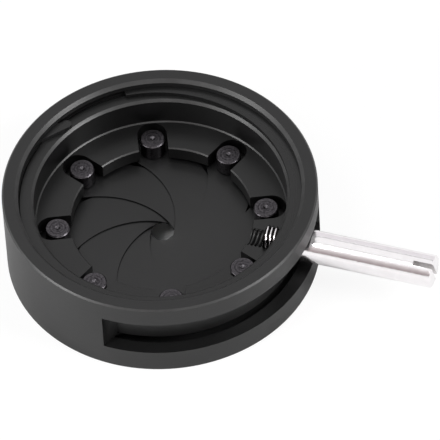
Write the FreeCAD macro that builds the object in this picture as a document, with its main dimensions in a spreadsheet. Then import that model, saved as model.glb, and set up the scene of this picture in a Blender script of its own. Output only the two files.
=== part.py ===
import FreeCAD, Part
import math
import os
import Sketcher
from FreeCAD import Placement, Rotation, Vector

# Iris diaphragm with eight blades. The origin is at the middle of the back face of the
# housing, +Z points out of its open front, and +X is to the right of the viewer.
# The housing is a turned cup. The actuator ring turns inside it and is kept in by a snap
# ring. Each blade turns about a pivot pin in the housing's floor, and a drive pin on its
# other end stands in a slot of the ring, so that the lever opens and shuts the blades.
# Lengths are in millimetres and angles in degrees, counterclockwise seen from the front.

DRIVING_SIZES = [
    ("blade_count", 8, "blades, with their pins, holes and slots"),
    ("housing_diameter", 38.0, "outside of the cup"),
    ("housing_height", 11.2, "back face to rim"),
    ("housing_wall", 1.95, "wall around the bore that the actuator ring turns in"),
    ("seat_width", 0.3, "turned step that the ring rests on"),
    ("seat_thickness", 0.4, "thickness of that step, above the undercut chamber"),
    ("chamber_undercut", 0.25, "blade chamber beyond the bore, behind that step"),
    ("floor_thickness", 2.45, "floor of the cup"),
    ("light_margin", 0.2, "reach of the open blades behind the edge of the hole in the floor"),
    ("rim_chamfer", 0.4, "chamfer inside the rim"),
    ("edge_break", 0.2, "broken turned edges"),
    ("ring_gap", 0.05, "radial running gap of the ring"),
    ("end_play", 0.03, "axial play of the ring, at each side"),
    ("blade_room", 1.4, "height of the blade chamber, floor to ring"),
    ("ring_wall", 1.72, "wall of the actuator ring"),
    ("ring_chamfer", 0.3, "chamfer at the top of the ring's bore"),
    ("land_thickness", 1.85, "inward flange of the ring"),
    ("land_margin", 0.2, "hole in the flange beyond the concave edges of the open blades"),
    ("land_break", 0.15, "broken edge of that hole, and corner at the foot of the wall"),
    ("slot_play", 0.6, "width of a drive slot beyond its pin"),
    ("slot_end_gap", 0.1, "gap beyond the pin at the outer end of its slot"),
    ("blade_edge_gap", 0.55, "gap between the edge of the ring's seat and an open blade"),
    ("blade_width", 5.4, "width of a blade"),
    ("blade_thickness", 0.08, "sheet of a blade"),
    ("blade_rise", 0.219, "rise of a bent blade for each radian about the optical axis"),
    ("blade_floor_gap", 0.1, "gap between the floor and a blade at its pivot"),
    ("pin_span", 133.5, "angle between the two pins of a blade, about the blade's centre"),
    ("rest_aperture", 2.74, "aperture at rest"),
    ("opening_travel", 83.0, "turn of the ring from rest to fully open"),
    ("closing_travel", 7.0, "turn of the ring from rest to the least aperture"),
    ("drive_ratio", 0.4855, "turn of a blade for each turn of the ring"),
    ("drive_pin_diameter", 3.0, "drive pin"),
    ("drive_pin_proud", 0.05, "top of a drive pin above the flange"),
    ("dimple_diameter", 0.7, "centre mark in the top of a drive pin"),
    ("dimple_depth", 0.2, "depth of that mark"),
    ("pin_break", 0.12, "broken edges of the pins"),
    ("pivot_pin_diameter", 1.6, "pivot pin"),
    ("pivot_pin_depth", 1.4, "pivot pin below the floor's face"),
    ("pivot_gap", 0.05, "running gap of a pivot pin in its hole"),
    ("rivet_diameter", 0.9, "stub of a pin through its blade"),
    ("rivet_gap", 0.02, "gap around and above that stub"),
    ("lever_azimuth", -19.9, "where the lever points at rest"),
    ("lever_rise", 2.45, "axis of the lever above the lower end of the ring"),
    ("lever_diameter", 4.0, "lever rod"),
    ("lever_projection", 15.2, "lever beyond the outside of the housing"),
    ("lever_end_chamfer", 0.25, "chamfer at that end"),
    ("thread_diameter", 3.0, "tapped hole for the lever"),
    ("thread_gap", 0.05, "gap of the plain shank that stands for the thread"),
    ("thread_proud", 2.18, "inner end of the thread beyond the ring's wall"),
    ("driver_slot_width", 0.6, "screwdriver slot in the outer end of the lever"),
    ("driver_slot_depth", 2.4, "depth of that slot"),
    ("driver_slot_turn", 67.0, "turn of that slot about the lever"),
    ("window_gap_below", 1.0, "window that the lever sweeps in, below the lever"),
    ("window_gap_above", 0.15, "the same window, above the lever"),
    ("window_cutter", 6.0, "diameter of the cutter that mills it"),
    ("window_overcut", 0.25, "cut of that cutter beyond the edge of the ring's seat"),
    ("window_break", 0.1, "broken inner edge of the window's floor"),
    ("window_overtravel", 2.5, "turn of that cutter beyond the lever's limits"),
    ("snap_thickness", 0.5, "snap ring"),
    ("snap_recess", 1.07, "snap ring below the rim"),
    ("snap_inset", 0.53, "reach of the snap ring out of its groove"),
    ("snap_offset", 0.95, "shift of its inner edge, which makes the ring wide on one side"),
    ("snap_narrow_azimuth", 200.0, "where the ring is narrowest"),
    ("snap_gap_azimuth", 102.0, "square end of the ring"),
    ("snap_gap_angle", 32.0, "gap between its ends"),
    ("snap_finger_azimuth", 132.0, "middle of the rounded tip of the finger at the other end"),
    ("snap_finger_width", 1.2, "width of that tip"),
    ("snap_finger_inset", 0.85, "middle of that tip from the bore"),
    ("snap_finger_angle", 16.0, "length of the finger"),
    ("groove_depth", 0.8, "groove for the snap ring"),
    ("groove_gap", 0.03, "gap around the snap ring in its groove"),
    ("cut_margin", 1.0, "reach of a cut past the material"),
]

document = FreeCAD.newDocument("iris_diaphragm")
sheet = document.addObject("Spreadsheet::Sheet", "sizes")
next_row = 1


def keep(alias, number, meaning):
    """Write one named number into the next row of the sheet."""
    global next_row
    sheet.set(f"A{next_row}", meaning)
    sheet.set(f"B{next_row}", str(number))
    sheet.setAlias(f"B{next_row}", alias)
    next_row += 1


def size(alias):
    return float(sheet.get(alias))


for entry in DRIVING_SIZES:
    keep(*entry)
document.recompute()


# The path of a blade. In its own frame a blade is concentric with the housing, as when the
# iris is fully open, and its pivot is on +X. It swings about the pivot from there.

blade_count = int(size("blade_count"))
pitch_angle = 360 / blade_count
bore_radius = size("housing_diameter") / 2 - size("housing_wall")
blade_outer_radius = bore_radius - size("seat_width") - size("blade_edge_gap")
blade_inner_radius = blade_outer_radius - size("blade_width")
pin_circle = (blade_inner_radius + blade_outer_radius) / 2
pivot_point = Vector(pin_circle, 0, 0)
drive_point = Rotation(Vector(0, 0, 1), size("pin_span")).multVec(pivot_point)


def swing(angle):
    """Turn of a blade about its pivot, from fully open."""
    return Placement(Vector(), Rotation(Vector(0, 0, 1), angle), pivot_point)


def azimuth(point):
    return math.degrees(math.atan2(point.y, point.x))


centre_shift = blade_inner_radius - size("rest_aperture") / 2
rest_swing = 2 * math.degrees(math.asin(centre_shift / (2 * pin_circle)))
shut_swing = rest_swing + size("closing_travel") * size("drive_ratio")
least_shift = 2 * pin_circle * math.sin(math.radians(shut_swing / 2))

# A blade is bent by its neighbours into a shallow screw surface, lowest at its pivot. The
# screw's axis is the point of the blade that lies on the optical axis when the iris is shut.
# The screw leaves out a margin at each side of the line to the blade's centre of curvature.
screw_point = swing(-shut_swing).multVec(Vector())
screw_margin = 40
screw_start = azimuth(-screw_point) + screw_margin
screw_sweep = 360 - 2 * screw_margin


def screw_angle(point):
    """Angle of a point of the blade about the screw's axis, from the start of the screw."""
    return (azimuth(point - screw_point) - screw_start) % 360


drive_rise = size("blade_rise") * math.radians(screw_angle(drive_point) - screw_angle(pivot_point))
pivot_rise = size("blade_rise") * math.radians(screw_angle(pivot_point))

# At rest each drive pin is in the middle of its slot, half a pitch from the lever.
drive_azimuth = size("lever_azimuth") + pitch_angle / 2
pivot_azimuth = drive_azimuth - azimuth(swing(rest_swing).multVec(drive_point))
window_half_sweep = (size("opening_travel") + size("closing_travel")) / 2 + size("window_overtravel")
window_azimuth = size("lever_azimuth") + (size("closing_travel") - size("opening_travel")) / 2

keep("pitch_angle", pitch_angle, "angle from one blade to the next")
keep("blade_inner_radius", blade_inner_radius, "concave edge of a blade")
keep("least_aperture", 2 * (blade_inner_radius - least_shift), "aperture when shut")
keep("pivot_azimuth", pivot_azimuth, "first pivot pin")
keep("drive_rise", drive_rise, "drive end of a blade above its pivot end")
keep("window_azimuth", window_azimuth, "middle of the lever's window")
keep("window_half_sweep", window_half_sweep, "turn of the cutter each way from there")
document.recompute()

# Heights and radii that pieces share, as formulas of the sheet's names.
HOUSING_RADIUS = "(sizes.housing_diameter / 2)"
BORE_RADIUS = "(sizes.housing_diameter / 2 - sizes.housing_wall)"
SEAT_RADIUS = f"({BORE_RADIUS} - sizes.seat_width)"
CHAMBER_RADIUS = f"({BORE_RADIUS} + sizes.chamber_undercut)"
LIGHT_RADIUS = "(sizes.blade_inner_radius - sizes.light_margin)"
GROOVE_RADIUS = f"({BORE_RADIUS} + sizes.groove_depth)"
PIN_CIRCLE = "(sizes.blade_inner_radius + sizes.blade_width / 2)"
RING_OUTER = f"({BORE_RADIUS} - sizes.ring_gap)"
RING_INNER = f"({RING_OUTER} - sizes.ring_wall)"
RING_BASE = "(sizes.floor_thickness + sizes.blade_room)"
SNAP_BASE = "(sizes.housing_height - sizes.snap_recess - sizes.snap_thickness)"
RING_TOP = f"({SNAP_BASE} - sizes.end_play)"
LAND_TOP = f"({RING_BASE} + sizes.land_thickness)"
LAND_RADIUS = "(sizes.blade_inner_radius + sizes.land_margin)"
BLADE_BASE = "(sizes.floor_thickness + sizes.blade_floor_gap)"
LEVER_HEIGHT = f"({RING_BASE} + sizes.lever_rise)"
LEVER_REACH = f"({HOUSING_RADIUS} + sizes.lever_projection)"
THREAD_REACH = f"({RING_INNER} - sizes.thread_proud)"


def number(formula):
    return float(sheet.evalExpression(formula))


def new_body(name):
    body = document.addObject("PartDesign::Body", name)
    body.Label = name
    return body


def new_sketch(body, name, plane, turn="0", lift="0"):
    """A sketch on an origin plane of its own body, turned about Z and lifted along Z."""
    sketch = body.newObject("Sketcher::SketchObject", name)
    planes = [feature for feature in body.Origin.OriginFeatures if feature.Role == plane]
    sketch.AttachmentSupport = [(planes[0], "")]
    sketch.MapMode = "FlatFace"
    turned_axis = Vector(0, 1, 0) if plane == "XZ_Plane" else Vector(0, 0, 1)
    sketch.AttachmentOffset = Placement(Vector(0, 0, number(lift)), Rotation(turned_axis, number(turn)))
    if turn != "0":
        sketch.setExpression("AttachmentOffset.Rotation.Angle", turn)
    if lift != "0":
        sketch.setExpression("AttachmentOffset.Base.z", lift)
    return sketch


def hold(sketch, kind, geometry, point, formula):
    """Hold one coordinate of a point of a sketch at a formula, or on the axis for 0."""
    if formula == "0":
        axis = -2 if kind == "DistanceX" else -1
        sketch.addConstraint(Sketcher.Constraint("PointOnObject", geometry, point, axis))
        return
    index = sketch.addConstraint(Sketcher.Constraint(kind, -1, 1, geometry, point, number(formula)))
    sketch.setExpression(f"Constraints[{index}]", formula)


def draw_outline(sketch, corners):
    """A closed outline of straight lines through corners, given as pairs of formulas."""
    places = [Vector(number(across), number(up), 0) for across, up in corners]
    first = sketch.GeometryCount
    for index, place in enumerate(places):
        sketch.addGeometry(Part.LineSegment(place, places[(index + 1) % len(places)]))
    for index, (across, up) in enumerate(corners):
        following = first + (index + 1) % len(corners)
        sketch.addConstraint(Sketcher.Constraint("Coincident", first + index, 2, following, 1))
        hold(sketch, "DistanceX", first + index, 1, across)
        hold(sketch, "DistanceY", first + index, 1, up)


def draw_circle(sketch, across, up, radius):
    centre = Vector(number(across), number(up), 0)
    circle = sketch.addGeometry(Part.Circle(centre, Vector(0, 0, 1), number(radius)))
    hold(sketch, "DistanceX", circle, 3, across)
    hold(sketch, "DistanceY", circle, 3, up)
    index = sketch.addConstraint(Sketcher.Constraint("Radius", circle, number(radius)))
    sketch.setExpression(f"Constraints[{index}]", radius)


def turned(body, name, corners, axis="V_Axis"):
    """A full turn of an outline drawn in the body's XZ plane."""
    sketch = new_sketch(body, name + "_outline", "XZ_Plane")
    draw_outline(sketch, corners)
    feature = body.newObject("PartDesign::Revolution", name)
    feature.Profile = sketch
    feature.ReferenceAxis = (sketch, [axis])
    feature.Angle = 360
    return feature


def pocket(body, name, sketch, depth, both_ways=False, upwards=False):
    feature = body.newObject("PartDesign::Pocket", name)
    feature.Profile = sketch
    feature.Midplane = both_ways
    feature.Reversed = upwards
    feature.Length = number(depth)
    feature.setExpression("Length", depth)
    return feature


def repeat(body, name, feature, sketch):
    """Repeat a feature once for each blade around the optical axis."""
    pattern = body.newObject("PartDesign::PolarPattern", name)
    pattern.Originals = [feature]
    pattern.Axis = (sketch, ["N_Axis"])
    pattern.Angle = 360
    pattern.setExpression("Occurrences", "sizes.blade_count")
    body.Tip = pattern
    return pattern


def make_housing():
    """Turned cup with the ring's seat, the snap ring's groove, pivot holes and a window."""
    body = new_body("housing")
    brk = "sizes.edge_break"
    rim = "sizes.housing_height"
    seat_top = f"({RING_BASE} - sizes.end_play)"
    groove_floor = SNAP_BASE + " - sizes.groove_gap"
    groove_roof = SNAP_BASE + " + sizes.snap_thickness + sizes.groove_gap"
    turned(body, "cup", [
        (LIGHT_RADIUS, "0"),
        (f"{HOUSING_RADIUS} - {brk}", "0"),
        (HOUSING_RADIUS, brk),
        (HOUSING_RADIUS, f"{rim} - {brk}"),
        (f"{HOUSING_RADIUS} - {brk}", rim),
        (f"{BORE_RADIUS} + sizes.rim_chamfer", rim),
        (BORE_RADIUS, f"{rim} - sizes.rim_chamfer"),
        (BORE_RADIUS, groove_roof),
        (GROOVE_RADIUS, groove_roof),
        (GROOVE_RADIUS, groove_floor),
        (BORE_RADIUS, groove_floor),
        (BORE_RADIUS, seat_top),
        (SEAT_RADIUS, seat_top),
        (SEAT_RADIUS, f"{seat_top} - sizes.seat_thickness"),
        (CHAMBER_RADIUS, f"{seat_top} - sizes.seat_thickness"),
        (CHAMBER_RADIUS, "sizes.floor_thickness"),
        (LIGHT_RADIUS, "sizes.floor_thickness"),
    ])

    window_bottom = f"({LEVER_HEIGHT} - sizes.lever_diameter / 2 - sizes.window_gap_below)"
    window_top = f"({LEVER_HEIGHT} + sizes.lever_diameter / 2 + sizes.window_gap_above)"
    beyond = f"({HOUSING_RADIUS} + sizes.cut_margin)"
    cut_radius = f"({SEAT_RADIUS} - sizes.window_overcut)"
    sketch = new_sketch(body, "window_section", "XZ_Plane", turn="sizes.window_azimuth")
    draw_outline(sketch, [
        (cut_radius, f"{window_bottom} - sizes.window_break"),
        (CHAMBER_RADIUS, f"{window_bottom} - sizes.window_break"),
        (f"{CHAMBER_RADIUS} + sizes.window_break", window_bottom),
        (beyond, window_bottom),
        (beyond, window_top),
        (cut_radius, window_top),
    ])
    window = body.newObject("PartDesign::Groove", "window")
    window.Profile = sketch
    window.ReferenceAxis = (sketch, ["V_Axis"])
    window.Midplane = True
    window.setExpression("Angle", "2 * sizes.window_half_sweep")

    for side, sign in (("open", "-"), ("shut", "+")):
        sketch = new_sketch(body, f"window_{side}_end_circle", "XY_Plane", lift=window_top,
                            turn=f"sizes.window_azimuth {sign} sizes.window_half_sweep")
        draw_circle(sketch, f"{cut_radius} + sizes.window_cutter / 2", "0", "sizes.window_cutter / 2")
        pocket(body, f"window_{side}_end", sketch, f"{window_top} - {window_bottom}")

    sketch = new_sketch(body, "pivot_circle", "XY_Plane", turn="sizes.pivot_azimuth",
                        lift="sizes.floor_thickness")
    draw_circle(sketch, PIN_CIRCLE, "0", "sizes.pivot_pin_diameter / 2 + sizes.pivot_gap")
    hole = pocket(body, "pivot_hole", sketch, "sizes.pivot_pin_depth + sizes.pivot_gap")
    repeat(body, "pivot_holes", hole, sketch)
    return body


def make_actuator_ring():
    """Turned ring whose flange has a drive slot for each blade, open to the middle."""
    body = new_body("actuator_ring")
    brk = "sizes.edge_break / 2"
    turned(body, "ring", [
        (f"{RING_OUTER} - {brk}", RING_BASE),
        (RING_OUTER, f"{RING_BASE} + {brk}"),
        (RING_OUTER, f"{RING_TOP} - {brk}"),
        (f"{RING_OUTER} - {brk}", RING_TOP),
        (f"{RING_INNER} + sizes.ring_chamfer", RING_TOP),
        (RING_INNER, f"{RING_TOP} - sizes.ring_chamfer"),
        (RING_INNER, f"{LAND_TOP} + sizes.land_break"),
        (f"{RING_INNER} - sizes.land_break", LAND_TOP),
        (f"{LAND_RADIUS} + sizes.land_break", LAND_TOP),
        (LAND_RADIUS, f"{LAND_TOP} - sizes.land_break"),
        (LAND_RADIUS, RING_BASE),
    ])

    half_width = "((sizes.drive_pin_diameter + sizes.slot_play) / 2)"
    slot_centre = f"({PIN_CIRCLE} + sizes.slot_end_gap - sizes.slot_play / 2)"
    slot_mouth = f"({LAND_RADIUS} - sizes.cut_margin)"
    sketch = new_sketch(body, "drive_slot_outline", "XY_Plane", turn="sizes.pitch_angle / 2",
                        lift=RING_BASE)
    near, far, side = number(slot_mouth), number(slot_centre), number(half_width)
    sketch.addGeometry(Part.LineSegment(Vector(near, -side, 0), Vector(far, -side, 0)))
    circle = Part.Circle(Vector(far, 0, 0), Vector(0, 0, 1), side)
    sketch.addGeometry(Part.ArcOfCircle(circle, -math.pi / 2, math.pi / 2))
    sketch.addGeometry(Part.LineSegment(Vector(far, side, 0), Vector(near, side, 0)))
    sketch.addGeometry(Part.LineSegment(Vector(near, side, 0), Vector(near, -side, 0)))
    sketch.addConstraint(Sketcher.Constraint("Tangent", 0, 2, 1, 1))
    sketch.addConstraint(Sketcher.Constraint("Tangent", 1, 2, 2, 1))
    sketch.addConstraint(Sketcher.Constraint("Coincident", 2, 2, 3, 1))
    sketch.addConstraint(Sketcher.Constraint("Coincident", 3, 2, 0, 1))
    sketch.addConstraint(Sketcher.Constraint("Horizontal", 0))
    sketch.addConstraint(Sketcher.Constraint("Vertical", 3))
    hold(sketch, "DistanceX", 3, 1, slot_mouth)
    hold(sketch, "DistanceX", 1, 3, slot_centre)
    hold(sketch, "DistanceY", 1, 3, "0")
    index = sketch.addConstraint(Sketcher.Constraint("Radius", 1, side))
    sketch.setExpression(f"Constraints[{index}]", half_width)
    slot_depth = "2 * (sizes.land_thickness + sizes.cut_margin)"
    slot = pocket(body, "drive_slot", sketch, slot_depth, both_ways=True)
    repeat(body, "drive_slots", slot, sketch)

    sketch = new_sketch(body, "lever_hole_circle", "YZ_Plane")
    draw_circle(sketch, "0", LEVER_HEIGHT, "sizes.thread_diameter / 2")
    pocket(body, "lever_hole", sketch, f"{RING_OUTER} + sizes.cut_margin", upwards=True)
    body.Placement = Placement(Vector(), Rotation(Vector(0, 0, 1), size("lever_azimuth")))
    body.setExpression("Placement.Rotation.Angle", "sizes.lever_azimuth")
    return body


def make_snap_ring():
    """Flat sprung ring with an off-centre inner edge, a square end and a rounded finger."""
    body = new_body("snap_ring")
    sketch = new_sketch(body, "snap_edges", "XY_Plane", turn="sizes.snap_narrow_azimuth",
                        lift=SNAP_BASE)
    draw_circle(sketch, "0", "0", f"{GROOVE_RADIUS} - sizes.groove_gap")
    draw_circle(sketch, "sizes.snap_offset", "0", f"{BORE_RADIUS} - sizes.snap_inset")
    pad = body.newObject("PartDesign::Pad", "snap_blank")
    pad.Profile = sketch
    pad.setExpression("Length", "sizes.snap_thickness")

    sketch = new_sketch(body, "snap_gap_outline", "XY_Plane", turn="sizes.snap_gap_azimuth",
                        lift=SNAP_BASE)
    beyond = f"({HOUSING_RADIUS} + sizes.cut_margin)"
    draw_outline(sketch, [
        ("0", "0"),
        (beyond, "0"),
        (f"{beyond} * cos(sizes.snap_gap_angle)", f"{beyond} * sin(sizes.snap_gap_angle)"),
    ])
    pocket(body, "snap_gap", sketch, "2 * (sizes.snap_thickness + sizes.cut_margin)", both_ways=True)

    middle = f"({BORE_RADIUS} - sizes.snap_finger_inset)"
    root = f"({BORE_RADIUS} + sizes.groove_depth / 2)"
    half_width = "sizes.snap_finger_width / 2"
    sketch = new_sketch(body, "snap_finger_outline", "XY_Plane", turn="sizes.snap_finger_azimuth",
                        lift=SNAP_BASE)
    draw_outline(sketch, [
        (f"{middle} - {half_width}", "0"),
        (f"{middle} + {half_width}", "0"),
        (f"{root} * cos(sizes.snap_finger_angle / 2)", f"{root} * sin(sizes.snap_finger_angle / 2)"),
        (f"{root} * cos(sizes.snap_finger_angle)", f"{root} * sin(sizes.snap_finger_angle)"),
    ])
    pad = body.newObject("PartDesign::Pad", "snap_finger")
    pad.Profile = sketch
    pad.setExpression("Length", "sizes.snap_thickness")
    sketch = new_sketch(body, "snap_tip_circle", "XY_Plane", turn="sizes.snap_finger_azimuth",
                        lift=SNAP_BASE)
    draw_circle(sketch, middle, "0", half_width)
    pad = body.newObject("PartDesign::Pad", "snap_tip")
    pad.Profile = sketch
    pad.setExpression("Length", "sizes.snap_thickness")
    return body


def make_lever():
    """Rod with a thread at its inner end, and a screwdriver slot at its outer end."""
    body = new_body("lever")
    shank = "(sizes.thread_diameter / 2 - sizes.thread_gap)"
    rod = "(sizes.lever_diameter / 2)"
    turned(body, "rod", [
        (THREAD_REACH, "0"),
        (THREAD_REACH, f"{shank} - sizes.lever_end_chamfer"),
        (f"{THREAD_REACH} + sizes.lever_end_chamfer", shank),
        (RING_OUTER, shank),
        (RING_OUTER, rod),
        (f"{LEVER_REACH} - sizes.lever_end_chamfer", rod),
        (LEVER_REACH, f"{rod} - sizes.lever_end_chamfer"),
        (LEVER_REACH, "0"),
    ], axis="H_Axis")
    sketch = body.newObject("Sketcher::SketchObject", "driver_slot_section")
    planes = [feature for feature in body.Origin.OriginFeatures if feature.Role == "XY_Plane"]
    sketch.AttachmentSupport = [(planes[0], "")]
    sketch.MapMode = "FlatFace"
    sketch.AttachmentOffset = Placement(Vector(), Rotation(Vector(1, 0, 0), size("driver_slot_turn")))
    sketch.setExpression("AttachmentOffset.Rotation.Angle", "sizes.driver_slot_turn")
    slot_bottom = f"({LEVER_REACH} - sizes.driver_slot_depth)"
    slot_mouth = f"({LEVER_REACH} + sizes.cut_margin)"
    draw_outline(sketch, [
        (slot_bottom, "-sizes.lever_diameter"),
        (slot_mouth, "-sizes.lever_diameter"),
        (slot_mouth, "sizes.lever_diameter"),
        (slot_bottom, "sizes.lever_diameter"),
    ])
    pocket(body, "driver_slot", sketch, "sizes.driver_slot_width", both_ways=True)
    body.Placement = Placement(Vector(0, 0, number(LEVER_HEIGHT)),
                               Rotation(Vector(0, 0, 1), size("lever_azimuth")))
    body.setExpression("Placement.Rotation.Angle", "sizes.lever_azimuth")
    body.setExpression("Placement.Base.z", LEVER_HEIGHT)
    return body


def cylinder(name, radius, height, place=Vector()):
    solid = document.addObject("Part::Cylinder", name)
    solid.setExpression("Radius", radius)
    solid.setExpression("Height", height)
    solid.Placement = Placement(place, Rotation())
    return solid


def make_blade_pattern():
    """One blade in its own frame: the sheet's outline, cut from the bent sheet."""
    sheet_body = new_body("bent_sheet")
    sketch = new_sketch(sheet_body, "sheet_section", "XZ_Plane")
    near, far = "(sizes.least_aperture / 4)", "sizes.housing_diameter"
    draw_outline(sketch, [
        (near, "0"),
        (far, "0"),
        (far, "sizes.blade_thickness"),
        (near, "sizes.blade_thickness"),
    ])
    screw = sheet_body.newObject("PartDesign::AdditiveHelix", "screw")
    screw.Profile = sketch
    screw.ReferenceAxis = (sketch, ["V_Axis"])
    screw.Mode = 0
    screw.setExpression("Pitch", "2 * pi * sizes.blade_rise")
    screw.setExpression("Height", f"2 * pi * sizes.blade_rise * {screw_sweep} / 360")
    start_height = number(BLADE_BASE) - pivot_rise
    sheet_body.Placement = Placement(screw_point + Vector(0, 0, start_height),
                                     Rotation(Vector(0, 0, 1), screw_start))

    half_width = "sizes.blade_width / 2"
    tall = RING_TOP
    outer = cylinder("blade_outer_edge", "sizes.blade_inner_radius + sizes.blade_width", tall)
    outer.setExpression("Angle", "sizes.pin_span")
    inner = cylinder("blade_inner_edge", "sizes.blade_inner_radius", tall)
    sector = document.addObject("Part::Cut", "blade_sector")
    sector.Base, sector.Tool = outer, inner
    outline = document.addObject("Part::MultiFuse", "blade_outline")
    outline.Shapes = [sector, cylinder("pivot_end", half_width, tall, pivot_point),
                      cylinder("drive_end", half_width, tall, drive_point)]
    hole_radius = "sizes.rivet_diameter / 2 + sizes.rivet_gap"
    holes = document.addObject("Part::MultiFuse", "rivet_holes")
    holes.Shapes = [cylinder("pivot_rivet_hole", hole_radius, tall, pivot_point),
                    cylinder("drive_rivet_hole", hole_radius, tall, drive_point)]
    blank = document.addObject("Part::Cut", "blade_blank")
    blank.Base, blank.Tool = outline, holes
    blade = document.addObject("Part::Common", "blade_pattern")
    blade.Base, blade.Tool = blank, sheet_body
    return blade


def rest_placement(index):
    """Where the frame of a blade lies at rest."""
    around = Placement(Vector(), Rotation(Vector(0, 0, 1), pivot_azimuth + index * pitch_angle))
    return around.multiply(swing(rest_swing))


def make_drive_pin(index):
    """Turned pin that stands on the high end of a blade, riveted through it."""
    body = new_body(f"drive_pin_{index + 1}")
    pin = "(sizes.drive_pin_diameter / 2)"
    stub = "(sizes.rivet_diameter / 2)"
    base = f"({BLADE_BASE} + sizes.drive_rise)"
    shoulder = f"({base} + sizes.blade_thickness + 2 * sizes.rivet_gap)"
    top = f"({LAND_TOP} + sizes.drive_pin_proud)"
    turned(body, "pin", [
        ("0", f"{base} + sizes.blade_thickness / 2"),
        (stub, f"{base} + sizes.blade_thickness / 2"),
        (stub, shoulder),
        (f"{pin} - sizes.pin_break", shoulder),
        (pin, f"{shoulder} + sizes.pin_break"),
        (pin, f"{top} - sizes.pin_break"),
        (f"{pin} - sizes.pin_break", top),
        ("sizes.dimple_diameter / 2", top),
        ("0", f"{top} - sizes.dimple_depth"),
    ])
    place = rest_placement(index).multVec(drive_point)
    body.Placement = Placement(place, Rotation())
    return body


def make_pivot_pin(index):
    """Turned pin under the low end of a blade, riveted through it, in the housing's floor."""
    body = new_body(f"pivot_pin_{index + 1}")
    pin = "(sizes.pivot_pin_diameter / 2)"
    stub = "(sizes.rivet_diameter / 2)"
    foot = "(sizes.floor_thickness - sizes.pivot_pin_depth)"
    shoulder = f"({BLADE_BASE} - sizes.rivet_gap)"
    turned(body, "pin", [
        ("0", foot),
        (f"{pin} - sizes.pin_break", foot),
        (pin, f"{foot} + sizes.pin_break"),
        (pin, shoulder),
        (stub, shoulder),
        (stub, f"{BLADE_BASE} + sizes.blade_thickness / 2"),
        ("0", f"{BLADE_BASE} + sizes.blade_thickness / 2"),
    ])
    place = rest_placement(index).multVec(pivot_point)
    body.Placement = Placement(place, Rotation())
    return body


def make_blade(index, pattern):
    blade = document.addObject("Part::Feature", f"blade_{index + 1}")
    blade.Label = f"blade_{index + 1}"
    blade.Shape = pattern.Shape
    blade.Placement = rest_placement(index)
    return blade


pieces = [make_housing(), make_actuator_ring(), make_snap_ring(), make_lever()]
for index in range(blade_count):
    pieces.append(make_drive_pin(index))
    pieces.append(make_pivot_pin(index))
blade_pattern = make_blade_pattern()
document.recompute()
for index in range(blade_count):
    pieces.append(make_blade(index, blade_pattern))
document.recompute()

for thing in document.Objects:
    if "Invalid" in thing.State or "Error" in thing.State:
        raise RuntimeError(f"{thing.Label} failed: {thing.State}")
for piece in pieces:
    if piece.Shape.isNull() or not piece.Shape.isValid() or len(piece.Shape.Solids) != 1:
        raise RuntimeError(f"{piece.Label} is not one valid solid")

os.makedirs("parts", exist_ok=True)
for piece in pieces:
    piece.Shape.exportStep(f"parts/{piece.Label}.step")
    box = piece.Shape.BoundBox
    print(f"{piece.Label}: {piece.Shape.Volume:.2f} mm3, z {box.ZMin:.2f} to {box.ZMax:.2f}")
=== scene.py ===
import math

import bpy
from mathutils import Matrix, Vector


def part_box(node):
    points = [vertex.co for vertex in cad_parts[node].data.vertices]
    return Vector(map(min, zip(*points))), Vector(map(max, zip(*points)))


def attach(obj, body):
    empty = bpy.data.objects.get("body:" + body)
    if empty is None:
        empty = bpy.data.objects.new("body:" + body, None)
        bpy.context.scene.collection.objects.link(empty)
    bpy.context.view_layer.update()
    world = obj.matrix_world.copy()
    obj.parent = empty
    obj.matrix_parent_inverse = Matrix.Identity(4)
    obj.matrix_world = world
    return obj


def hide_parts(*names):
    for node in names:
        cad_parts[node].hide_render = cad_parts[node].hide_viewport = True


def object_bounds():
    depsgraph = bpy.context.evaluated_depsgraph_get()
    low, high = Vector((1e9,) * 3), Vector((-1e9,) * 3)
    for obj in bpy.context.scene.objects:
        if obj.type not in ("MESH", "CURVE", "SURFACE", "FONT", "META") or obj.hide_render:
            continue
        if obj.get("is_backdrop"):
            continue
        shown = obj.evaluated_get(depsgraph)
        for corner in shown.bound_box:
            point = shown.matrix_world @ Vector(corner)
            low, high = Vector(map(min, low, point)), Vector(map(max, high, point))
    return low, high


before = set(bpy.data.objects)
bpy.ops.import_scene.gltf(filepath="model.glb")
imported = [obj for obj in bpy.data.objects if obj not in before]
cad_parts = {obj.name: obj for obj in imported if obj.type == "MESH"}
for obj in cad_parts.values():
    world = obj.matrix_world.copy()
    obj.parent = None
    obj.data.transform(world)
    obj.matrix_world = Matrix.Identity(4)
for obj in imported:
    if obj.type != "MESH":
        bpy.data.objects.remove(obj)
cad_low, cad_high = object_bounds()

# The view. A long lens looks down on the iris from in front of it, as in the photograph.
# The picture is square, and the lens turns a little about its own axis.
mm = 0.001
scene = bpy.context.scene
scene.view_settings.view_transform = "Standard"
camera_place = Vector((6.99, -589.09, 707.86)) * mm
camera_pitch = math.radians(50.05)
camera_roll = math.radians(-3.66)
bpy.ops.object.camera_add()
camera = bpy.context.object
camera.data.sensor_width = 36
camera.data.lens = 622.2
look_down = Matrix.Rotation(math.radians(90) - camera_pitch, 4, "X")
camera.matrix_world = Matrix.Translation(camera_place) @ look_down @ Matrix.Rotation(camera_roll, 4, "Z")
scene.camera = camera


def add_node(tree, kind, inputs=None, **settings):
    """A node with its settings, and with its inputs set to values or linked to other nodes."""
    node = tree.nodes.new(kind)
    for name, value in settings.items():
        setattr(node, name, value)
    for name, value in (inputs or {}).items():
        if isinstance(value, bpy.types.NodeSocket):
            tree.links.new(value, node.inputs[name])
        else:
            node.inputs[name].default_value = value
    return node


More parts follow.
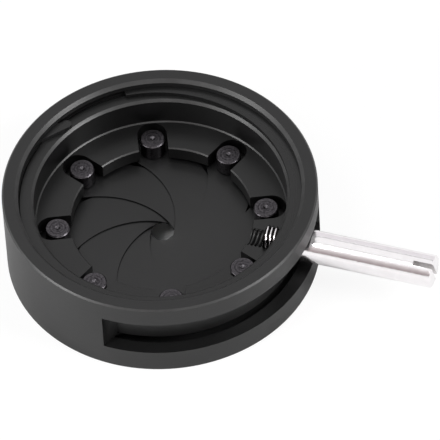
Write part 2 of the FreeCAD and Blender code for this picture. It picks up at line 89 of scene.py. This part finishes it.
def seen_directly(tree, mirrored_share=1.0):
    """1 where the camera sees a surface, a share of it in metal or glass, and 0 for its light."""
    path = add_node(tree, "ShaderNodeLightPath").outputs
    mirrored = add_node(tree, "ShaderNodeMath", operation="MAXIMUM",
                        inputs={0: path["Is Glossy Ray"], 1: path["Is Transmission Ray"]})
    share = add_node(tree, "ShaderNodeMath", {0: mirrored.outputs[0], 1: mirrored_share},
                     operation="MULTIPLY")
    return add_node(tree, "ShaderNodeMath", operation="MAXIMUM",
                    inputs={0: path["Is Camera Ray"], 1: share.outputs[0]}).outputs[0]


# The white table that the iris lies on. It keeps a little of its own shading, and so shows the
# shadow of the lever, and all of it under the iris, where the small opening shows it dark. In
# mirrored light it carries a painted shade: its glow is cut close to the housing, as if the
# housing shaded it, and comes back to full white 45 mm out.
table_size = 6.0
table_gap = 0.02 * mm
table_tone = 0.85
table_glow = 0.84
glow_strength = 1.06
painted_shade_glow = 0.1
painted_shade_reach = 45 * mm
dark_reach = cad_high.y * 0.97
bpy.ops.object.select_all(action="DESELECT")
bpy.ops.mesh.primitive_plane_add(size=table_size, location=(0, 0, -table_gap))
table = bpy.context.object
table.name = "table_top"
table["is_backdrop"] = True
table_white = bpy.data.materials.new("table_white")
table_white.use_nodes = True
tree = table_white.node_tree
shader = tree.nodes["Principled BSDF"]
shader.inputs["Base Color"].default_value = (table_tone, table_tone, table_tone, 1)
shader.inputs["Roughness"].default_value = 0.9
distance = add_node(tree, "ShaderNodeVectorMath", operation="LENGTH", inputs={
    0: add_node(tree, "ShaderNodeTexCoord").outputs["Object"]})
outside = add_node(tree, "ShaderNodeMath", operation="GREATER_THAN", inputs={
    0: distance.outputs["Value"], 1: dark_reach})
glow = add_node(tree, "ShaderNodeEmission", {"Color": (1, 1, 1, 1), "Strength": glow_strength})
# Painted shade: in mirrored light the table's glow is cut to a tenth at the housing and comes back in
# full 45 mm out.
mirrored_glow_painted_shade = add_node(tree, "ShaderNodeMapRange", {
    "Value": distance.outputs["Value"], "From Min": cad_high.y, "From Max": painted_shade_reach,
    "To Min": painted_shade_glow, "To Max": 1.0})
share = add_node(tree, "ShaderNodeMath", operation="MULTIPLY",
                 inputs={0: seen_directly(tree, mirrored_glow_painted_shade.outputs[0]), 1: table_glow})
share = add_node(tree, "ShaderNodeMath", operation="MULTIPLY",
                 inputs={0: share.outputs[0], 1: outside.outputs[0]})
blend = add_node(tree, "ShaderNodeMixShader", {
    0: share.outputs[0], 1: shader.outputs[0], 2: glow.outputs[0]})
tree.links.new(blend.outputs[0], tree.nodes["Material Output"].inputs["Surface"])
table.data.materials.append(table_white)


def room_strength(tree):
    """The strength of the room: full where it is seen or mirrored, and room_light as light."""
    return add_node(tree, "ShaderNodeMapRange", {
        "Value": seen_directly(tree), "To Min": room_light, "To Max": 1.0}).outputs[0]


# The room around the table is plain white. It is seen and mirrored at full strength, and lights
# the iris softly from all sides at room_light.
room_light = 0.25
room = bpy.data.worlds.new("white_room")
scene.world = room
room.use_nodes = True
background = room.node_tree.nodes["Background"]
background.inputs["Color"].default_value = (1, 1, 1, 1)
room.node_tree.links.new(room_strength(room.node_tree), background.inputs["Strength"])

# Four plain cards along the lever, hidden from the camera, that its plate mirrors as long bands:
# one in front, two narrow seams overhead and one at the back. Each has its place across the
# lever, its lean and height, and its colours at the foot and at the top.
lever_azimuth = math.radians(-19.9)
card_width = 3.0
dark_grey = (0.25, 0.24, 0.25)
light_grey = (0.6, 0.6, 0.6)
pale = (0.85, 0.83, 0.85)
cards = {
    "brown_card": ((0, -1.3, 0.85), 90, 1.2, (0.3, 0.25, 0.25), (0.85, 0.8, 0.8)),
    "front_seam": ((0, -0.15, 1.5), 0, 0.07, light_grey, light_grey),
    "back_seam": ((0, 1.35, 1.5), 0, 0.16, dark_grey, dark_grey),
    "back_card": ((0, 1.6, 0.7), 90, 1.4, pale, pale),
}
for name, (place, lean, height, foot, top) in cards.items():
    bpy.ops.object.select_all(action="DESELECT")
    bpy.ops.mesh.primitive_plane_add(size=1)
    card = bpy.context.object
    card.name = name
    along_lever = Matrix.Rotation(lever_azimuth, 4, "Z") @ Matrix.Translation(place)
    upright = Matrix.Rotation(math.radians(lean), 4, "X") @ Matrix.Diagonal((card_width, height, 1, 1))
    card.matrix_world = along_lever @ upright
    card.visible_camera = False
    card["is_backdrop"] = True
    cloth = bpy.data.materials.new(name)
    cloth.use_nodes = True
    tree = cloth.node_tree
    up = add_node(tree, "ShaderNodeSeparateXYZ", {
        "Vector": add_node(tree, "ShaderNodeTexCoord").outputs["Object"]})
    share = add_node(tree, "ShaderNodeMapRange", {
        "Value": up.outputs["Y"], "From Min": -0.5, "From Max": 0.5})
    colour = add_node(tree, "ShaderNodeMix", data_type="RGBA", inputs={
        0: share.outputs[0], 6: (*foot, 1), 7: (*top, 1)})
    lit = add_node(tree, "ShaderNodeEmission", {
        "Color": colour.outputs[2], "Strength": room_strength(tree)})
    tree.links.new(lit.outputs[0], tree.nodes["Material Output"].inputs["Surface"])
    card.data.materials.append(cloth)

# Soft lamps, each with its direction around and above the iris in degrees, and its power in watts.
# The two strong ones stand low at the left and higher at the right. The high one at the left
# front shines into the small opening, and the lever mirrors it as a white band.
lamp_distance = 950 * mm
lamp_width = 300 * mm
lamps = {
    "back_lamp": (148, 59, 0.6),
    "left_lamp": (218, 60, 1.5),
    "left_front_lamp": (205, 14, 9.0),
    "right_front_lamp": (338, 40, 5.4),
    "camera_lamp": (272, 38, 0.25),
}
for name, (around, up, power) in lamps.items():
    bpy.ops.object.light_add(type="AREA")
    lamp = bpy.context.object
    lamp.name = name
    lamp.data.size = lamp_width
    lamp.data.energy = power
    aim = Matrix.Rotation(math.radians(around), 4, "Z") @ Matrix.Rotation(math.radians(90 - up), 4, "Y")
    lamp.matrix_world = aim @ Matrix.Translation((0, 0, lamp_distance))


def distance_across(tree, place, across_axes):
    """Distance from an axis through the origin, given the two axes that lie across it as ones."""
    across = add_node(tree, "ShaderNodeVectorMath", {0: place, 1: across_axes}, operation="MULTIPLY")
    length = add_node(tree, "ShaderNodeVectorMath", {0: across.outputs[0]}, operation="LENGTH")
    return length.outputs["Value"]


def lathe_coordinates(tree):
    """Distance from the optical axis and height, which is how a lathe's marks run."""
    place = add_node(tree, "ShaderNodeTexCoord").outputs["Object"]
    height = add_node(tree, "ShaderNodeSeparateXYZ", {0: place})
    both = add_node(tree, "ShaderNodeCombineXYZ", {
        "X": distance_across(tree, place, (1, 1, 0)), "Z": height.outputs["Z"]})
    return place, both.outputs[0]


def dress(node, material):
    """Give a CAD node its material."""
    node.data.materials.clear()
    node.data.materials.append(material)


def anodised_black(name, dark, light, roughness):
    """A satin black finish with fine turning marks, and a painted highlight: faces sloping up at about
    45 degrees, as chamfers do, are painted pale in patches.
    """
    painted_highlight_tone = 0.04
    chamfer_spread = 0.1
    material = bpy.data.materials.new(name)
    material.use_nodes = True
    tree = material.node_tree
    shader = tree.nodes["Principled BSDF"]
    place, turned = lathe_coordinates(tree)
    cloud = add_node(tree, "ShaderNodeTexNoise", {"Vector": place, "Scale": 260, "Detail": 3})
    tone = add_node(tree, "ShaderNodeMix", data_type="RGBA", inputs={
        0: cloud.outputs[0], 6: (dark, dark, dark * 1.03, 1), 7: (light, light, light * 1.03, 1)})
    # Painted highlight: a face whose normal stands about 45 degrees up, as on a chamfer, gets a pale
    # tone in patches, as if its edge caught the light.
    facing = add_node(tree, "ShaderNodeSeparateXYZ", {
        "Vector": add_node(tree, "ShaderNodeNewGeometry").outputs["True Normal"]})
    on_chamfer = add_node(tree, "ShaderNodeMath", operation="COMPARE", inputs={
        0: facing.outputs["Z"], 1: math.cos(math.radians(45)), 2: chamfer_spread})
    highlight_patches = add_node(tree, "ShaderNodeTexNoise", {"Vector": place, "Scale": 700, "Detail": 4})
    painted_highlight = add_node(tree, "ShaderNodeMath", operation="MULTIPLY", inputs={
        0: on_chamfer.outputs[0], 1: highlight_patches.outputs[0]})
    tone = add_node(tree, "ShaderNodeMix", data_type="RGBA", inputs={
        0: painted_highlight.outputs[0], 6: tone.outputs[2], 7: (painted_highlight_tone, painted_highlight_tone, painted_highlight_tone, 1)})
    tree.links.new(tone.outputs[2], shader.inputs["Base Color"])
    marks = add_node(tree, "ShaderNodeTexNoise", {"Vector": turned, "Scale": 7000, "Detail": 2})
    grain = add_node(tree, "ShaderNodeTexNoise", {"Vector": place, "Scale": 14000, "Detail": 1})
    sheen = add_node(tree, "ShaderNodeMapRange", {
        "Value": marks.outputs[0], "From Min": 0.3, "From Max": 0.7,
        "To Min": roughness - 0.05, "To Max": roughness + 0.05})
    tree.links.new(sheen.outputs[0], shader.inputs["Roughness"])
    lines = add_node(tree, "ShaderNodeBump", {
        "Height": marks.outputs[0], "Strength": 0.6, "Distance": 0.004 * mm})
    skin = add_node(tree, "ShaderNodeBump", {
        "Height": grain.outputs[0], "Normal": lines.outputs[0], "Strength": 0.5, "Distance": 0.004 * mm})
    tree.links.new(skin.outputs[0], shader.inputs["Normal"])
    return material


# The housing is a cup turned from aluminium bar and anodised satin black. The window that
# the lever sweeps in is milled through its wall, and the bore has a groove for the snap ring.
dress(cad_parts["housing"], anodised_black("housing_anodised", 0.003, 0.006, 0.4))

# The actuator ring is turned from the same bar. Its flange has an open slot for each drive
# pin, and its wall carries the lever in a tapped hole.
ring_finish = anodised_black("ring_anodised", 0.002, 0.004, 0.36)
dress(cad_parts["actuator_ring"], ring_finish)

# The snap ring is stamped from black spring steel. It is sprung into the groove in the bore,
# where it holds the actuator ring and the blades in the cup.
dress(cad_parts["snap_ring"], anodised_black("snap_ring_black", 0.003, 0.005, 0.3))


def blade_black(name):
    """Thin steel sheet with a matt black coat."""
    material = bpy.data.materials.new(name)
    material.use_nodes = True
    tree = material.node_tree
    shader = tree.nodes["Principled BSDF"]
    place = add_node(tree, "ShaderNodeTexCoord").outputs["Object"]
    cloud = add_node(tree, "ShaderNodeTexNoise", {"Vector": place, "Scale": 500, "Detail": 4})
    tone = add_node(tree, "ShaderNodeMix", data_type="RGBA", inputs={
        0: cloud.outputs[0], 6: (0.003, 0.003, 0.0032, 1), 7: (0.006, 0.006, 0.0062, 1)})
    tree.links.new(tone.outputs[2], shader.inputs["Base Color"])
    grain = add_node(tree, "ShaderNodeTexNoise", {"Vector": place, "Scale": 16000, "Detail": 1})
    skin = add_node(tree, "ShaderNodeBump", {
        "Height": grain.outputs[0], "Strength": 0.4, "Distance": 0.003 * mm})
    tree.links.new(skin.outputs[0], shader.inputs["Normal"])
    shader.inputs["Roughness"].default_value = 0.4
    return material


# The eight curved blades are stamped from thin steel sheet and coated matt black. They lie one
# over the next all the way round, like a spiral stair.
blade_count = 8
blade_coat = blade_black("blade_coat")
for number in range(1, blade_count + 1):
    dress(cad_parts[f"blade_{number}"], blade_coat)


def turned_steel(name, centre):
    """Bare turned steel, with rings about the pin's own axis."""
    material = bpy.data.materials.new(name)
    material.use_nodes = True
    tree = material.node_tree
    shader = tree.nodes["Principled BSDF"]
    place = add_node(tree, "ShaderNodeTexCoord").outputs["Object"]
    local = add_node(tree, "ShaderNodeMapping", {"Vector": place, "Location": -centre})
    rings = add_node(tree, "ShaderNodeTexNoise", noise_dimensions="1D", inputs={
        "W": distance_across(tree, local.outputs[0], (1, 1, 0)), "Scale": 6000, "Detail": 2})
    grain = add_node(tree, "ShaderNodeTexNoise", {"Vector": place, "Scale": 4000, "Detail": 3})
    both = add_node(tree, "ShaderNodeMath", {0: rings.outputs[0], 1: grain.outputs[0]}, operation="ADD")
    wear = add_node(tree, "ShaderNodeMapRange", {
        "Value": both.outputs[0], "From Min": 0.75, "From Max": 1.25})
    tone = add_node(tree, "ShaderNodeMix", data_type="RGBA", inputs={
        0: wear.outputs[0], 6: (0.02, 0.018, 0.021, 1), 7: (0.115, 0.108, 0.117, 1)})
    tree.links.new(tone.outputs[2], shader.inputs["Base Color"])
    lines = add_node(tree, "ShaderNodeBump", {
        "Height": wear.outputs[0], "Strength": 0.8, "Distance": 0.005 * mm})
    tree.links.new(lines.outputs[0], shader.inputs["Normal"])
    shader.inputs["Metallic"].default_value = 1
    shader.inputs["Roughness"].default_value = 0.34
    return material


# Each blade has a turned steel pin riveted to each end. The thick one drives it, and the
# thin one is its pivot in the floor of the housing.
for kind in ("drive_pin", "pivot_pin"):
    for number in range(1, blade_count + 1):
        low, high = (Vector(corner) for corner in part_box(f"{kind}_{number}"))
        centre = (low + high) / 2
        dress(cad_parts[f"{kind}_{number}"], turned_steel(f"{kind}_{number}_steel", centre))

# The lever is a nickel-plated steel rod, with a screwdriver slot in its outer end and an M3
# thread at its inner end, which is screwed through the ring's wall and over the flange.
lever_height = 6.3 * mm
rod_radius = 2.0 * mm
rod_start = 17.0 * mm
rod_end = 34.2 * mm
rod_chamfer = 0.25 * mm
slot_width = 0.6 * mm
slot_depth = 2.4 * mm
slot_turn = math.radians(180 - 67)
bpy.ops.object.select_all(action="DESELECT")
bpy.ops.mesh.primitive_cylinder_add(vertices=96, radius=rod_radius, depth=rod_end - rod_start,
                                    location=((rod_start + rod_end) / 2, 0, 0),
                                    rotation=(0, math.radians(90), 0))
rod = bpy.context.object
rod.name = "plated_rod"
bpy.ops.object.transform_apply(location=True, rotation=True, scale=True)


def pick_edges(piece, wanted):
    """Go into edit mode with only those edges selected whose two ends the rule accepts."""
    bpy.ops.object.mode_set(mode="EDIT")
    bpy.ops.mesh.select_mode(type="EDGE")
    bpy.ops.mesh.select_all(action="DESELECT")
    bpy.ops.object.mode_set(mode="OBJECT")
    for edge in piece.data.edges:
        edge.select = all(wanted(piece.data.vertices[index].co) for index in edge.vertices)
    bpy.ops.object.mode_set(mode="EDIT")


pick_edges(rod, lambda corner: corner.x > rod_end - rod_chamfer)
bpy.ops.mesh.bevel(offset=rod_chamfer, segments=4, profile=0.5)
bpy.ops.object.mode_set(mode="OBJECT")

bpy.ops.object.select_all(action="DESELECT")
bpy.ops.mesh.primitive_cube_add(size=1, location=(rod_end, 0, 0), rotation=(slot_turn, 0, 0),
                                scale=(2 * slot_depth, 3 * rod_radius, slot_width))
cutter = bpy.context.object
bpy.context.view_layer.objects.active = rod
cut = rod.modifiers.new("screwdriver_slot", "BOOLEAN")
cut.object = cutter
cut.operation = "DIFFERENCE"
bpy.ops.object.modifier_apply(modifier=cut.name)
bpy.data.objects.remove(cutter)
slot_side = Vector((0, -math.sin(slot_turn), math.cos(slot_turn)))
slot_foot = rod_end - slot_depth * 1.01
slot_inner = rod_radius * 0.9
side_facing = 0.99
foot_facing = 0.9
for face in rod.data.polygons:
    is_side = abs(face.normal.dot(slot_side)) > side_facing
    is_foot = face.normal.x > foot_facing
    is_inside = math.hypot(face.center.y, face.center.z) < slot_inner
    in_slot = is_inside and slot_foot < face.center.x < rod_end - rod_chamfer
    face.material_index = int(in_slot and (is_side or is_foot))


def thread_along_x(name, profile, pitch, start, end, top=1.0):
    """A closed thread along X, cut off above its top. The profile is given as places along
    and out: one pitch of a whole thread, or the outline of a single ridge."""
    steps_per_turn = 40
    same_point = 0.002 * mm
    cut_precision = 0.0001 * mm
    bpy.ops.object.select_all(action="DESELECT")
    bpy.ops.mesh.primitive_plane_add(size=pitch)
    thread = bpy.context.object
    thread.name = name
    bpy.ops.object.mode_set(mode="EDIT")
    bpy.ops.mesh.select_mode(type="VERT")
    bpy.ops.mesh.merge(type="CENTER")
    for (along, out), (last_along, last_out) in zip(profile[1:], profile):
        bpy.ops.mesh.extrude_region_move(
            TRANSFORM_OT_translate={"value": (along - last_along, 0, out - last_out)})
    bpy.ops.mesh.select_all(action="SELECT")
    bpy.ops.transform.translate(value=(start - pitch + profile[0][0], 0, profile[0][1]))
    bpy.ops.object.mode_set(mode="OBJECT")
    turns = thread.modifiers.new("turns", "SCREW")
    turns.axis = "X"
    turns.screw_offset = pitch
    turns.iterations = math.ceil((end - start) / pitch) + 2
    turns.steps = steps_per_turn
    turns.use_merge_vertices = True
    turns.merge_threshold = 0.001 * mm
    bpy.ops.object.modifier_apply(modifier=turns.name)
    bpy.ops.object.mode_set(mode="EDIT")
    bpy.ops.mesh.select_all(action="SELECT")
    bpy.ops.mesh.remove_doubles(threshold=same_point)
    cuts = (((start, 0, 0), (-1, 0, 0)), ((end, 0, 0), (1, 0, 0)), ((0, 0, top), (0, 0, 1)))
    for place, facing in cuts:
        bpy.ops.mesh.select_all(action="SELECT")
        bpy.ops.mesh.bisect(plane_co=place, plane_no=facing, threshold=cut_precision,
                            use_fill=False, clear_outer=True)
        bpy.ops.mesh.select_all(action="SELECT")
        bpy.ops.mesh.remove_doubles(threshold=same_point)
        bpy.ops.mesh.select_all(action="SELECT")
        bpy.ops.mesh.fill_holes(sides=0)
    bpy.ops.mesh.select_all(action="SELECT")
    bpy.ops.mesh.normals_make_consistent(inside=False)
    bpy.ops.object.mode_set(mode="OBJECT")
    return thread


thread_pitch = 0.5 * mm
thread_root = 1.2 * mm
thread_crest = 1.46 * mm
thread_reach = 13.1 * mm
thread_flank = (thread_crest - thread_root) * math.tan(math.radians(30))
thread_flat = (thread_pitch - 2 * thread_flank) / 2
thread_profile = [
    (0, thread_root),
    (thread_flat, thread_root),
    (thread_flat + thread_flank, thread_crest),
    (2 * thread_flat + thread_flank, thread_crest),
    (thread_pitch, thread_root),
]
thread_end_facing = 0.97
thread = thread_along_x("lever_thread", thread_profile, thread_pitch, thread_reach, rod_start)
for face in thread.data.polygons:
    face.material_index = int(abs(face.normal.x) > thread_end_facing)


def place_on_lever(piece):
    """Turn and lift a piece that was made along X to the lever's own line."""
    bpy.ops.object.select_all(action="DESELECT")
    piece.select_set(True)
    bpy.context.view_layer.objects.active = piece
    piece.rotation_euler.z = lever_azimuth
    piece.location.z = lever_height
    bpy.ops.object.transform_apply(location=True, rotation=True, scale=True)
    bpy.ops.object.shade_smooth_by_angle(angle=math.radians(25))


def plated_nickel(name, lit_from_radius):
    """Bright nickel plate over a drawn rod, with faint lines along it and small blemishes.
    Nearer to the lever's axis than the given radius it is painted almost black, a painted shade in a
    thread's grooves that fades out just under the crests."""
    shade_fade = 0.16 * mm
    material = bpy.data.materials.new(name)
    material.use_nodes = True
    tree = material.node_tree
    shader = tree.nodes["Principled BSDF"]
    place = add_node(tree, "ShaderNodeTexCoord").outputs["Object"]
    along = add_node(tree, "ShaderNodeMapping", {
        "Vector": place, "Rotation": (0, 0, -lever_azimuth), "Scale": (60, 5000, 5000)})
    drawn = add_node(tree, "ShaderNodeTexNoise", {"Vector": along.outputs[0], "Scale": 1, "Detail": 3})
    cloud = add_node(tree, "ShaderNodeTexNoise", {"Vector": place, "Scale": 900, "Detail": 3})
    tone = add_node(tree, "ShaderNodeMix", data_type="RGBA", inputs={
        0: cloud.outputs[0], 6: (0.86, 0.83, 0.845, 1), 7: (0.97, 0.95, 0.96, 1)})
    # Painted shade: whatever lies nearer to the lever's axis than the given radius, a thread's roots and
    # flanks, is painted almost black, so that only the crests keep the plate's colour.
    on_axis = add_node(tree, "ShaderNodeMapping", {
        "Vector": place, "Rotation": (0, 0, -lever_azimuth), "Location": (0, 0, -lever_height)})
    lit_share = add_node(tree, "ShaderNodeMapRange", {
        "Value": distance_across(tree, on_axis.outputs[0], (0, 1, 1)),
        "From Min": lit_from_radius - shade_fade, "From Max": lit_from_radius})
    tone = add_node(tree, "ShaderNodeMix", data_type="RGBA", inputs={
        0: lit_share.outputs[0], 6: (0.015, 0.013, 0.012, 1), 7: tone.outputs[2]})
    tree.links.new(tone.outputs[2], shader.inputs["Base Color"])
    sheen = add_node(tree, "ShaderNodeMapRange", {
        "Value": drawn.outputs[0], "From Min": 0.3, "From Max": 0.7, "To Min": 0.08, "To Max": 0.2})
    tree.links.new(sheen.outputs[0], shader.inputs["Roughness"])
    lines = add_node(tree, "ShaderNodeBump", {
        "Height": drawn.outputs[0], "Strength": 0.5, "Distance": 0.006 * mm})
    spots = add_node(tree, "ShaderNodeTexNoise", {"Vector": place, "Scale": 2500, "Detail": 2})
    dents = add_node(tree, "ShaderNodeBump", {
        "Height": spots.outputs[0], "Normal": lines.outputs[0], "Strength": 0.5, "Distance": 0.02 * mm})
    tree.links.new(dents.outputs[0], shader.inputs["Normal"])
    shader.inputs["Metallic"].default_value = 1
    return material


def sawn_steel(name):
    """Bare sawn steel, in the slot and on the thread's end, with the saw's marks across it."""
    material = bpy.data.materials.new(name)
    material.use_nodes = True
    tree = material.node_tree
    shader = tree.nodes["Principled BSDF"]
    place = add_node(tree, "ShaderNodeTexCoord").outputs["Object"]
    across = add_node(tree, "ShaderNodeMapping", {
        "Vector": place, "Rotation": (0, 0, -lever_azimuth), "Scale": (9000, 900, 900)})
    marks = add_node(tree, "ShaderNodeTexNoise", {"Vector": across.outputs[0], "Scale": 1, "Detail": 2})
    tone = add_node(tree, "ShaderNodeMix", data_type="RGBA", inputs={
        0: marks.outputs[0], 6: (0.5, 0.48, 0.48, 1), 7: (0.9, 0.87, 0.87, 1)})
    tree.links.new(tone.outputs[2], shader.inputs["Base Color"])
    shader.inputs["Metallic"].default_value = 1
    shader.inputs["Roughness"].default_value = 0.35
    return material


sawn = sawn_steel("slot_steel")
# The thread is painted dark below its crests, a painted shade in its grooves.
thread_lit_from = thread_crest - 0.03 * mm
rod.data.materials.append(plated_nickel("lever_nickel", 0.0))
rod.data.materials.append(sawn)
thread.data.materials.append(plated_nickel("thread_nickel", thread_lit_from))
thread.data.materials.append(sawn)
for piece in (rod, thread):
    place_on_lever(piece)
    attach(piece, "actuator")
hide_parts("lever")

# The hole that the lever is screwed into runs on through the flange, where it is open above.
# Its tapped threads show there as a short row of black ridges in front of the lever.
tap_start = 11.1 * mm
tap_end = 13.05 * mm
tap_wall = 1.53 * mm
tap_crest = 1.27 * mm
tap_half_width = 0.19 * mm
flange_top = 5.66 * mm
tap_ridge = [(0, tap_wall), (tap_half_width, tap_crest), (2 * tap_half_width, tap_wall), (0, tap_wall)]
tapped = thread_along_x("tapped_thread", tap_ridge, thread_pitch, tap_start, tap_end,
                        flange_top - lever_height)
place_on_lever(tapped)
# The ring's finish paints pale glints on the ridges' faces that slope up at about 45 degrees.
tapped.data.materials.append(ring_finish)
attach(tapped, "actuator")

# The finished model's box, next to that of the solids.
low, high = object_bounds()
